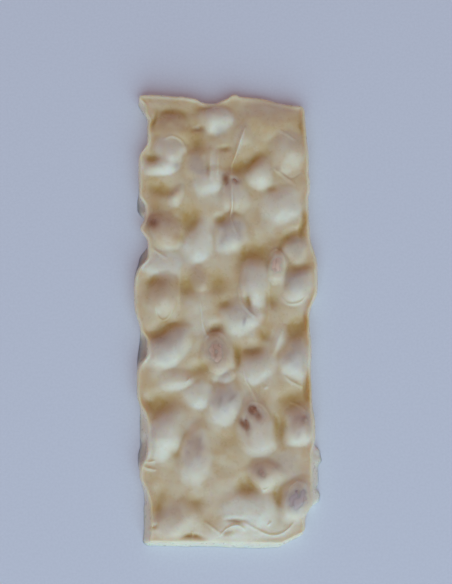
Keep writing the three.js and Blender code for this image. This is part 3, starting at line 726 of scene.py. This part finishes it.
# Painted shine: a paler band along the rim, for the light on its rounded edge.
RIM_PAINTED_SHINE = 0.8
RIM_SHINE_BAND = 1.5
POOLED_PER_DEPTH = 0.5  # how amber a hollow is, for each millimetre of its depth: partly thicker chocolate, partly painted shade
MOST_POOLED = 0.9
# Painted shade in crevices: where the top lies below its smoothed self, it is made more amber.
CREVICE_CELLS = 6  # cells over which the top is smoothed to find its crevices
CREVICE_DEPTH = 1.2  # below the smoothed top, from where a crevice gets no more amber
CREVICE_BAND = (1.8, 3.4)  # inside the rim, where crevices start to count
PAINTED_SHADE_IN_CREVICE = 0.4


def blurred(values, cells):
    """A grid of values smoothed over the given number of cells."""
    reach = 3 * cells
    weights = np.exp(-0.5 * (np.arange(-reach, reach + 1) / cells) ** 2)
    weights /= weights.sum()
    for axis in (0, 1):
        padding = [(0, 0), (0, 0)]
        padding[axis] = (reach, reach)
        padded = np.pad(values, padding, mode="edge")
        values = np.apply_along_axis(np.convolve, axis, padded, weights, "valid")
    return values


def with_spots(share, spots, x, y):
    """A share, raised to the strongest spot's where that is more."""
    for spot in spots:
        share = np.maximum(share, spot.strength * oval_share(spot, x, y))
    return share


def top_looks(x, y, height):
    """How milky, grey, rose, dark and pooled the chocolate is at each point, from 0 to 1. The milky share
    is partly a painted highlight, and the pooled share partly painted shade.
    """
    wx, wy = warped(x, y)
    cloud = CLOUDS * smooth_noise(x, y, cell=3.1, seed=11)
    milky_and_highlight = np.zeros(x.shape)
    grey = np.zeros(x.shape)
    rose = np.zeros(x.shape)
    for nut in ALL_NUTS:
        # The milky patch over a nut is moved towards the lit near side: partly milkier chocolate, partly a
        # painted highlight.
        nearer = nut._replace(y=nut.y - MILKY_SHIFT_TO_LIT_SIDE * nut.half_width)
        round_nut = 1 - smoothstep(*MILKY_EDGE, nut_radius(nearer, wx, wy) + cloud)
        milky_and_highlight = np.maximum(milky_and_highlight, nut.milk * round_nut)
        over_nut = nut.show * (1 - smoothstep(*SHOW_EDGE, nut_radius(nut, wx, wy) + cloud))
        grey = np.maximum(grey, (1 - nut.rose) * over_nut)
        rose = np.maximum(rose, nut.rose * over_nut)
    for node, (nut, _) in BARE_NUTS.items():
        cover = np.maximum(0.0, height - kernel_top(nut, x, y))
        thin = np.exp(-cover / FILM)
        grey = np.maximum(grey, KERNEL_VEILS[node].film_grey * thin)
        rose = np.maximum(rose, KERNEL_VEILS[node].film_rose * thin)
    inset = inset_of(x, y)
    # Painted shine along the rim.
    rim_shine = np.exp(-((inset / RIM_SHINE_BAND) ** 2)) * (1 - oval_share(LIP_GAPS[0], x, y))
    milky_and_highlight = np.maximum(milky_and_highlight, RIM_PAINTED_SHINE * rim_shine)
    # Amber in hollows and amber spots: partly thicker chocolate, partly painted shade.
    pooled_and_shade = np.zeros(x.shape)
    for hollow in HOLLOWS + PITS:
        pooled_and_shade = pooled_and_shade + min(MOST_POOLED, POOLED_PER_DEPTH * hollow.depth) * oval_share(hollow, wx, wy)
    pooled_and_shade = pooled_and_shade + sum(spot.strength * oval_share(spot, wx, wy) for spot in AMBER_AND_SHADE_SPOTS)
    # Painted shade in the top's crevices.
    crevice_shade = np.clip((blurred(height, CREVICE_CELLS) - height) / CREVICE_DEPTH, 0.0, 1.0)
    crevice_shade = crevice_shade * smoothstep(*CREVICE_BAND, inset)
    return {
        "milky_and_highlight": with_spots(milky_and_highlight, MILKY_AND_HIGHLIGHT_SPOTS, wx, wy),
        "grey": with_spots(grey, GREY_SPOTS, wx, wy),
        "rose": with_spots(rose, RED_SPOTS, wx, wy),
        "dark": with_spots(np.zeros(x.shape), DARK_SPOTS, wx, wy),
        "pooled_and_shade": np.clip(pooled_and_shade + PAINTED_SHADE_IN_CREVICE * crevice_shade, 0.0, 1.0),
    }


# ---- From millimetres to the frame's metres ----
class BarFrame:
    """Fits the millimetre outline to the CAD bar's box, so every place follows the frame."""

    def __init__(self, rim, foot):
        outline = np.concatenate([*rim.values(), *foot.values()])
        low, high = outline.min(axis=0), outline.max(axis=0)
        cad_bar_low, cad_bar_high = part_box("chocolate_bar")
        self.scale = (cad_bar_high.y - cad_bar_low.y) / (high[1] - low[1])
        self.shift = np.array([
            (cad_bar_low.x + cad_bar_high.x) / 2 - self.scale * (low[0] + high[0]) / 2,
            (cad_bar_low.y + cad_bar_high.y) / 2 - self.scale * (low[1] + high[1]) / 2,
            cad_bar_low.z,
        ])

    def metres(self, points):
        return np.asarray(points, float) * self.scale + self.shift


def add_object(name, data):
    made = bpy.data.objects.new(name, data)
    bpy.context.collection.objects.link(made)
    return made


def make_piece(name, points, faces, material, node):
    mesh = bpy.data.meshes.new(name)
    mesh.from_pydata([tuple(point) for point in points], [], faces)
    mesh.polygons.foreach_set("use_smooth", [True] * len(mesh.polygons))
    mesh.materials.append(material)
    piece = add_object(name, mesh)
    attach(piece, "root")
    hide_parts(node)
    return piece


def add_attribute(piece, name, values):
    attribute = piece.data.attributes.new(name, "FLOAT", "POINT")
    attribute.data.foreach_set("value", np.asarray(values, np.float32))


# ---- Materials ----
MIX_COLOUR_INPUTS = (6, 7)  # sockets of a Mix node: its two colours, and the mixed one
MIX_COLOUR_OUTPUT = 2


def set_inputs(node, values):
    for name, value in values.items():
        node.inputs[name].default_value = value


class Nodes:
    """Short names for building a node material."""

    def __init__(self, name):
        self.material = bpy.data.materials.new(name)
        self.material.use_nodes = True
        self.tree = self.material.node_tree
        self.shader = self.tree.nodes["Principled BSDF"]

    def add(self, kind, **settings):
        node = self.tree.nodes.new(kind)
        for key, value in settings.items():
            setattr(node, key, value)
        return node

    def join(self, source, target):
        self.tree.links.new(source, target)

    def attribute(self, name):
        return self.add("ShaderNodeAttribute", attribute_name=name).outputs["Fac"]

    def noise(self, scale, detail=3.0, roughness=0.5):
        """Noise with the given number of hills to a metre, as a number from 0 to 1."""
        place = self.add("ShaderNodeTexCoord").outputs["Object"]
        noise = self.add("ShaderNodeTexNoise")
        set_inputs(noise, {"Scale": scale, "Detail": detail, "Roughness": roughness})
        self.join(place, noise.inputs["Vector"])
        return noise.outputs["Fac"]

    def spread(self, value, low, high, new_low=0.0, new_high=1.0):
        """Values from low to high, drawn out over the new range."""
        node = self.add("ShaderNodeMapRange", interpolation_type="SMOOTHSTEP")
        set_inputs(node, {"From Min": low, "From Max": high, "To Min": new_low, "To Max": new_high})
        self.join(value, node.inputs["Value"])
        return node.outputs["Result"]

    def multiply(self, first, second):
        node = self.add("ShaderNodeMath", operation="MULTIPLY")
        self.join(first, node.inputs[0])
        self.join(second, node.inputs[1])
        return node.outputs["Value"]

    def blend(self, share, first, second):
        """A colour mixed from two, each a colour or a socket."""
        node = self.add("ShaderNodeMix", data_type="RGBA")
        self.join(share, node.inputs["Factor"])
        for number, value in zip(MIX_COLOUR_INPUTS, (first, second)):
            if isinstance(value, tuple):
                node.inputs[number].default_value = (*value, 1.0)
            else:
                self.join(value, node.inputs[number])
        return node.outputs[MIX_COLOUR_OUTPUT]

    def bump(self, height, distance, strength):
        node = self.add("ShaderNodeBump")
        set_inputs(node, {"Distance": distance, "Strength": strength})
        self.join(height, node.inputs["Height"])
        self.join(node.outputs["Normal"], self.shader.inputs["Normal"])


IVORY = (0.80, 0.595, 0.32)
CREAM = (0.84, 0.685, 0.42)
MILK_AND_HIGHLIGHT = (0.92, 0.84, 0.64)
AMBER_AND_SHADE = (0.66, 0.41, 0.12)
GREY_VEIL = (0.60, 0.49, 0.39)
ROSE_VEIL = (0.56, 0.31, 0.18)
DARK_VEIL = (0.31, 0.10, 0.02)
# Among these tints the milky one also paints highlights, the amber one also paints shade, and grey on the
# left wall paints shade.
TINTS = {"milky_and_highlight": MILK_AND_HIGHLIGHT, "pooled_and_shade": AMBER_AND_SHADE, "grey": GREY_VEIL, "rose": ROSE_VEIL, "dark": DARK_VEIL}


def chocolate_material():
    made = Nodes("white_chocolate")
    clouds = made.spread(made.noise(scale=160, detail=4), low=0.35, high=0.65)
    colour = made.blend(clouds, IVORY, CREAM)
    patches = made.spread(made.noise(scale=330, detail=3), low=0.3, high=0.7, new_low=0.75, new_high=1.0)
    for name, tint in TINTS.items():
        colour = made.blend(made.multiply(made.attribute(name), patches), colour, tint)
    shader = made.shader
    made.join(colour, shader.inputs["Base Color"])
    roughness = made.spread(made.noise(scale=420, detail=2), low=0.3, high=0.7, new_low=0.26, new_high=0.38)
    made.join(roughness, shader.inputs["Roughness"])
    set_inputs(shader, {
        "Subsurface Weight": 0.8,
        "Subsurface Radius": (1.0, 0.7, 0.4),
        "Subsurface Scale": 0.0038,
        "IOR": 1.5,
    })
    made.bump(made.noise(scale=1500, detail=3), distance=0.0001, strength=0.25)
    return made.material


NUT_DARK = (0.36, 0.15, 0.07)
NUT_LIGHT = (0.60, 0.32, 0.17)
NUT_MILK = (0.87, 0.61, 0.42)
NUT_GREY = (0.57, 0.46, 0.41)


def nut_material():
    made = Nodes("nut_skin")
    grain = made.spread(made.noise(scale=500, detail=5, roughness=0.65), low=0.3, high=0.7)
    skin = made.blend(grain, NUT_DARK, NUT_LIGHT)
    with_milk = made.blend(made.attribute("milk"), skin, NUT_MILK)
    with_grey = made.blend(made.attribute("grey"), with_milk, NUT_GREY)
    # Painted shade in the skin's grooves.
    colour = made.blend(made.attribute("groove_and_shade"), with_grey, NUT_DARK)
    shader = made.shader
    made.join(colour, shader.inputs["Base Color"])
    roughness = made.spread(grain, low=0.0, high=1.0, new_low=0.35, new_high=0.5)
    made.join(roughness, shader.inputs["Roughness"])
    set_inputs(shader, {
        "Subsurface Weight": 0.15,
        "Subsurface Radius": (1.0, 0.4, 0.2),
        "Subsurface Scale": 0.001,
    })
    made.bump(made.noise(scale=1800, detail=3), distance=0.0001, strength=0.3)
    return made.material


PAPER_DARK = (0.79, 0.79, 0.80)
PAPER_LIGHT = (0.82, 0.82, 0.83)


def floor_material():
    made = Nodes("pale_paper")
    fibres = made.spread(made.noise(scale=900, detail=4), low=0.3, high=0.7)
    made.join(made.blend(fibres, PAPER_DARK, PAPER_LIGHT), made.shader.inputs["Base Color"])
    set_inputs(made.shader, {"Roughness": 0.85})
    return made.material


# ---- Pieces ----
def grid_faces(rows, columns):
    corner = (np.arange(rows - 1)[:, None] * columns + np.arange(columns - 1)[None, :]).ravel()
    return np.stack([corner, corner + 1, corner + columns + 1, corner + columns], axis=1).tolist()


def border_order(rows, columns):
    """Indices round a grid's border, anticlockwise from its first point."""
    near = np.arange(columns - 1)
    right = np.arange(rows - 1) * columns + columns - 1
    far = (rows - 1) * columns + np.arange(columns - 1, 0, -1)
    left = np.arange(rows - 1, 0, -1) * columns
    return np.concatenate([near, right, far, left])


def border_points(curves):
    return np.concatenate([
        curves["near"][:-1],
        curves["right"][:-1],
        curves["far"][:0:-1],
        curves["left"][:0:-1],
    ])


WALL_NOISE_STEP = (3, 5)  # how far the noise moves on from rim to foot
FOOT_MILKINESS = 0.8
FOOT_BLEND_POWER = 0.4  # how soon the wall takes on the looks of its foot


def wall_steepness(foot_points):
    """How steep the wall is over each point of the foot, 0 where it runs straight down to it; the same
    share paints grey shade on the wall.
    """
    steepness = np.zeros(len(foot_points))
    for place, reach, strength in STEEP_SHADED_PLACES:
        steepness += strength * np.exp(-(((foot_points[:, 1] - place) / reach) ** 4))
    steepness[foot_points[:, 0] > STEEP_LIMIT] = 0.0
    return steepness


def wall_ring(rim_points, foot_points, steepness, drop):
    """Points a share of the way down the wall. Where it is steep, they stay under the rim for longer."""
    flare = drop ** (1 + STEEP_POWER * steepness)
    outward = mix(rim_points[:, :2], foot_points, flare[:, None])
    noise_x = outward[:, 0] + WALL_NOISE_STEP[0] * drop
    noise_y = outward[:, 1] + WALL_NOISE_STEP[1] * drop
    unevenness = smooth_noise(noise_x, noise_y, cell=3, seed=21)
    bulge = WALL_BULGE * math.sin(math.pi * drop) * unevenness
    direction = foot_points / np.linalg.norm(foot_points, axis=1, keepdims=True)
    return np.column_stack([outward + bulge[:, None] * direction, rim_points[:, 2] * (1 - drop)])


def make_chocolate(material):
    """A fine grid over the top, rings down the wall and a flat base."""
    across = np.linspace(0, 1, CELLS_ACROSS + 1)
    along = np.linspace(0, 1, CELLS_ALONG + 1)
    rim = outline_curves(RIM, across, along)
    foot = outline_curves(FOOT, across, along)
    plan = spanned_grid(rim, across, along)
    x, y = plan[..., 0], plan[..., 1]
    height = top_height(x, y)
    top = np.dstack([x, y, height]).reshape(-1, 3)
    faces = grid_faces(len(along), len(across))
    border = border_order(len(along), len(across))
    foot_points = border_points(foot)
    steepness = wall_steepness(foot_points)
    points = [top]
    upper = border
    count = len(top)
    for ring in range(1, WALL_RINGS + 1):
        points.append(wall_ring(top[border], foot_points, steepness, ring / WALL_RINGS))
        lower = count + np.arange(len(border))
        faces += np.stack([upper, lower, np.roll(lower, -1), np.roll(upper, -1)], axis=1).tolist()
        count += len(border)
        upper = lower
    base = tessellate_polygon([[Vector((*point, 0.0)) for point in foot_points]])
    faces += [[int(upper[index]) for index in triangle] for triangle in base]
    bar_frame = BarFrame(rim, foot)
    piece = make_piece("chocolate_surface", bar_frame.metres(np.concatenate(points)), faces,
                       material, "chocolate_bar")
    down = np.arange(1, WALL_RINGS + 1) / WALL_RINGS
    # Painted shade: the left wall is greyed towards its foot where it is steep.
    looks_at_foot = {"milky_and_highlight": FOOT_MILKINESS, "grey": steepness}
    for name, share in top_looks(x, y, height).items():
        at_foot = looks_at_foot.get(name, 0.0)
        on_wall = mix(share.ravel()[border][None], at_foot, down[:, None] ** FOOT_BLEND_POWER)
        add_attribute(piece, name, np.concatenate([share.ravel(), on_wall.ravel()]))
    return bar_frame


GROOVES = 9  # wrinkles round a nut
GROOVE_WANDER = 1.44  # how far they wander, in radians
GROOVE_SHARPNESS = 2.2
GROOVE_START = 1.4  # how soon they set in from the nut's tips
GROOVE_DEPTH = 0.012  # share of the nut's size
SWELL_HEIGHT = 0.012
# Painted shade: the kernel's skin is darkened in its grooves.
GROOVE_PAINTED_SHADE = 0.6
GROOVE_VEILED = 0.5  # share of that which full milk hides
VEIL_LEAST = 0.75  # a kernel's veil comes and goes in patches, from this up by VEIL_RANGE
VEIL_RANGE = 0.35
EDGE_MILK = (0.2, 0.5)  # beside an opening: on a kernel with no milk, and with full milk
EDGE_BAND = (0.4, 1.0)  # over which it sets in, as shares of the opening's size


def nut_faces():
    """Faces round a kernel, whose points run from one tip in rings to the other tip."""
    last = 1 + (NUT_RINGS - 1) * NUT_SIDES
    faces = []
    for ring in range(NUT_RINGS - 2):
        for side in range(NUT_SIDES):
            first = 1 + ring * NUT_SIDES + side
            beside = 1 + ring * NUT_SIDES + (side + 1) % NUT_SIDES
            faces.append([first, first + NUT_SIDES, beside + NUT_SIDES, beside])
    for side in range(NUT_SIDES):
        beside = (side + 1) % NUT_SIDES
        faces.append([0, 1 + side, 1 + beside])
        faces.append([last, last - NUT_SIDES + beside, last - NUT_SIDES + side])
    return faces


def nut_points(nut, seed):
    """A kernel's points, and how much of a groove there is at each, which also sets its painted shade."""
    polar = np.linspace(0, math.pi, NUT_RINGS + 1)[1:-1]
    round_it = np.linspace(0, 2 * math.pi, NUT_SIDES, endpoint=False)
    along = np.r_[1.0, np.repeat(np.cos(polar), NUT_SIDES), -1.0]
    radius = np.r_[0.0, np.repeat(np.sin(polar), NUT_SIDES), 0.0]
    turn = np.r_[0.0, np.tile(round_it, len(polar)), 0.0]
    wander = GROOVE_WANDER * smooth_noise(along * 4, turn * 2, cell=1.0, seed=seed)
    off_groove = np.abs(np.sin(turn * GROOVES / 2 + wander))
    groove_and_shade = np.clip(1 - GROOVE_SHARPNESS * off_groove, 0.0, 1.0) * np.clip(radius * GROOVE_START, 0.0, 1.0)
    swells = smooth_noise(along * 5, turn * 2.2, cell=1.0, seed=seed + 1)
    size = 1 - GROOVE_DEPTH * groove_and_shade + SWELL_HEIGHT * swells
    half_height = nut.half_width * NUT_FLATNESS
    local_x = along * (nut.half_length - SIDE_SKIN)
    local_y = radius * np.cos(turn) * (1 - NUT_TAPER * along) * (nut.half_width - SIDE_SKIN) * size
    up = radius * np.sin(turn) * half_height * size
    angle = math.radians(nut.turn)
    points = np.column_stack([
        nut.x + local_x * math.cos(angle) - local_y * math.sin(angle),
        nut.y + local_x * math.sin(angle) + local_y * math.cos(angle),
        SLAB_HEIGHT + nut.rise - SKIN - half_height + up,
    ])
    return points, groove_and_shade


def make_nut(node, nut, bar_frame, material, seed):
    """A nut kernel with a wrinkled skin, milkier where it goes under the chocolate."""
    points, groove_and_shade = nut_points(nut, seed)
    piece = make_piece(node + "_kernel", bar_frame.metres(points), nut_faces(), material, node)
    x, y = points[:, 0], points[:, 1]
    openings = BARE_NUTS[node][1]
    off_middle = np.min([np.hypot(*local_place(opening, x, y)) for opening in openings], axis=0)
    veil = KERNEL_VEILS[node]
    patches = smoothstep(-0.5, 0.5, smooth_noise(x, y, cell=2.2, seed=seed + 2))
    mottled = VEIL_LEAST + VEIL_RANGE * patches
    at_edge = mix(*EDGE_MILK, veil.milk) * smoothstep(*EDGE_BAND, off_middle)
    add_attribute(piece, "milk", np.clip(veil.milk * mottled + at_edge, 0.0, 1.0))
    add_attribute(piece, "grey", np.clip(veil.grey * mottled, 0.0, 1.0))
    add_attribute(piece, "groove_and_shade", GROOVE_PAINTED_SHADE * (1 - GROOVE_VEILED * veil.milk) * groove_and_shade)


# ---- Stage ----
CAMERA_ELEVATION = 85.0
CAMERA_ROLL = 1.0
CAMERA_DISTANCE = 0.42
SENSOR_WIDTH = 36
VIEW_HEIGHT = 0.258  # of the plane that the camera looks at, from the picture's foot to its head
AIM = (0.00002, 0.01132, 0.006)  # off the bar's middle, because the bar lies below the picture's middle
FLOOR_HALF = 1.5
WINDOW_COLOUR = (0.45, 0.775, 1.0)
WORLD_COLOUR = (1.0, 0.727, 0.88)
WORLD_STRENGTH = 0.293


def make_camera():
    elevation = math.radians(CAMERA_ELEVATION)
    roll = math.radians(CAMERA_ROLL)
    back = Vector((0, -math.cos(elevation), math.sin(elevation)))
    level_up = Vector((0, math.sin(elevation), math.cos(elevation)))
    level_right = Vector((1, 0, 0))
    right = math.cos(roll) * level_right - math.sin(roll) * level_up
    up = math.sin(roll) * level_right + math.cos(roll) * level_up
    camera = add_object("camera", bpy.data.cameras.new("camera"))
    camera.data.sensor_width = SENSOR_WIDTH
    camera.data.lens = SENSOR_WIDTH * CAMERA_DISTANCE / VIEW_HEIGHT
    camera.data.clip_start = 0.01
    turned = Matrix((right, up, back)).transposed()
    camera.matrix_world = Matrix.Translation(Vector(AIM) + CAMERA_DISTANCE * back) @ turned.to_4x4()
    bpy.context.scene.camera = camera


def make_floor(material):
    half = FLOOR_HALF
    corners = [(-half, -half, 0), (half, -half, 0), (half, half, 0), (-half, half, 0)]
    mesh = bpy.data.meshes.new("floor")
    mesh.from_pydata(corners, [], [(0, 1, 2, 3)])
    mesh.materials.append(material)
    floor = add_object("floor", mesh)
    floor.location.z = cad_low.z


def make_light(name, azimuth, elevation, distance, size, watts, colour):
    """A square soft light that faces the bar. Azimuth 0 is on the near side, 90 on the right."""
    turn, lift = math.radians(azimuth), math.radians(elevation)
    place = Vector((math.sin(turn) * math.cos(lift), -math.cos(turn) * math.cos(lift), math.sin(lift)))
    lamp = bpy.data.lights.new(name, "AREA")
    lamp.size = size
    lamp.energy = watts
    lamp.color = colour
    light = add_object(name, lamp)
    light.location = place * distance
    light.rotation_mode = "QUATERNION"
    light.rotation_quaternion = place.to_track_quat("Z", "Y")


def make_stage():
    make_camera()
    make_floor(floor_material())
    make_light("window", azimuth=10, elevation=38, distance=3.5, size=4.4, watts=132, colour=WINDOW_COLOUR)
    world = bpy.data.worlds.new("studio")
    world.use_nodes = True
    background = world.node_tree.nodes["Background"]
    set_inputs(background, {"Color": (*WORLD_COLOUR, 1.0), "Strength": WORLD_STRENGTH})
    bpy.context.scene.world = world
    bpy.context.scene.view_settings.view_transform = "Standard"


# ---- The scene ----
make_stage()
bar_frame = make_chocolate(chocolate_material())
nut_skin = nut_material()
for number, (node, (nut, _)) in enumerate(BARE_NUTS.items()):
    make_nut(node, nut, bar_frame, nut_skin, seed=100 + 10 * number)
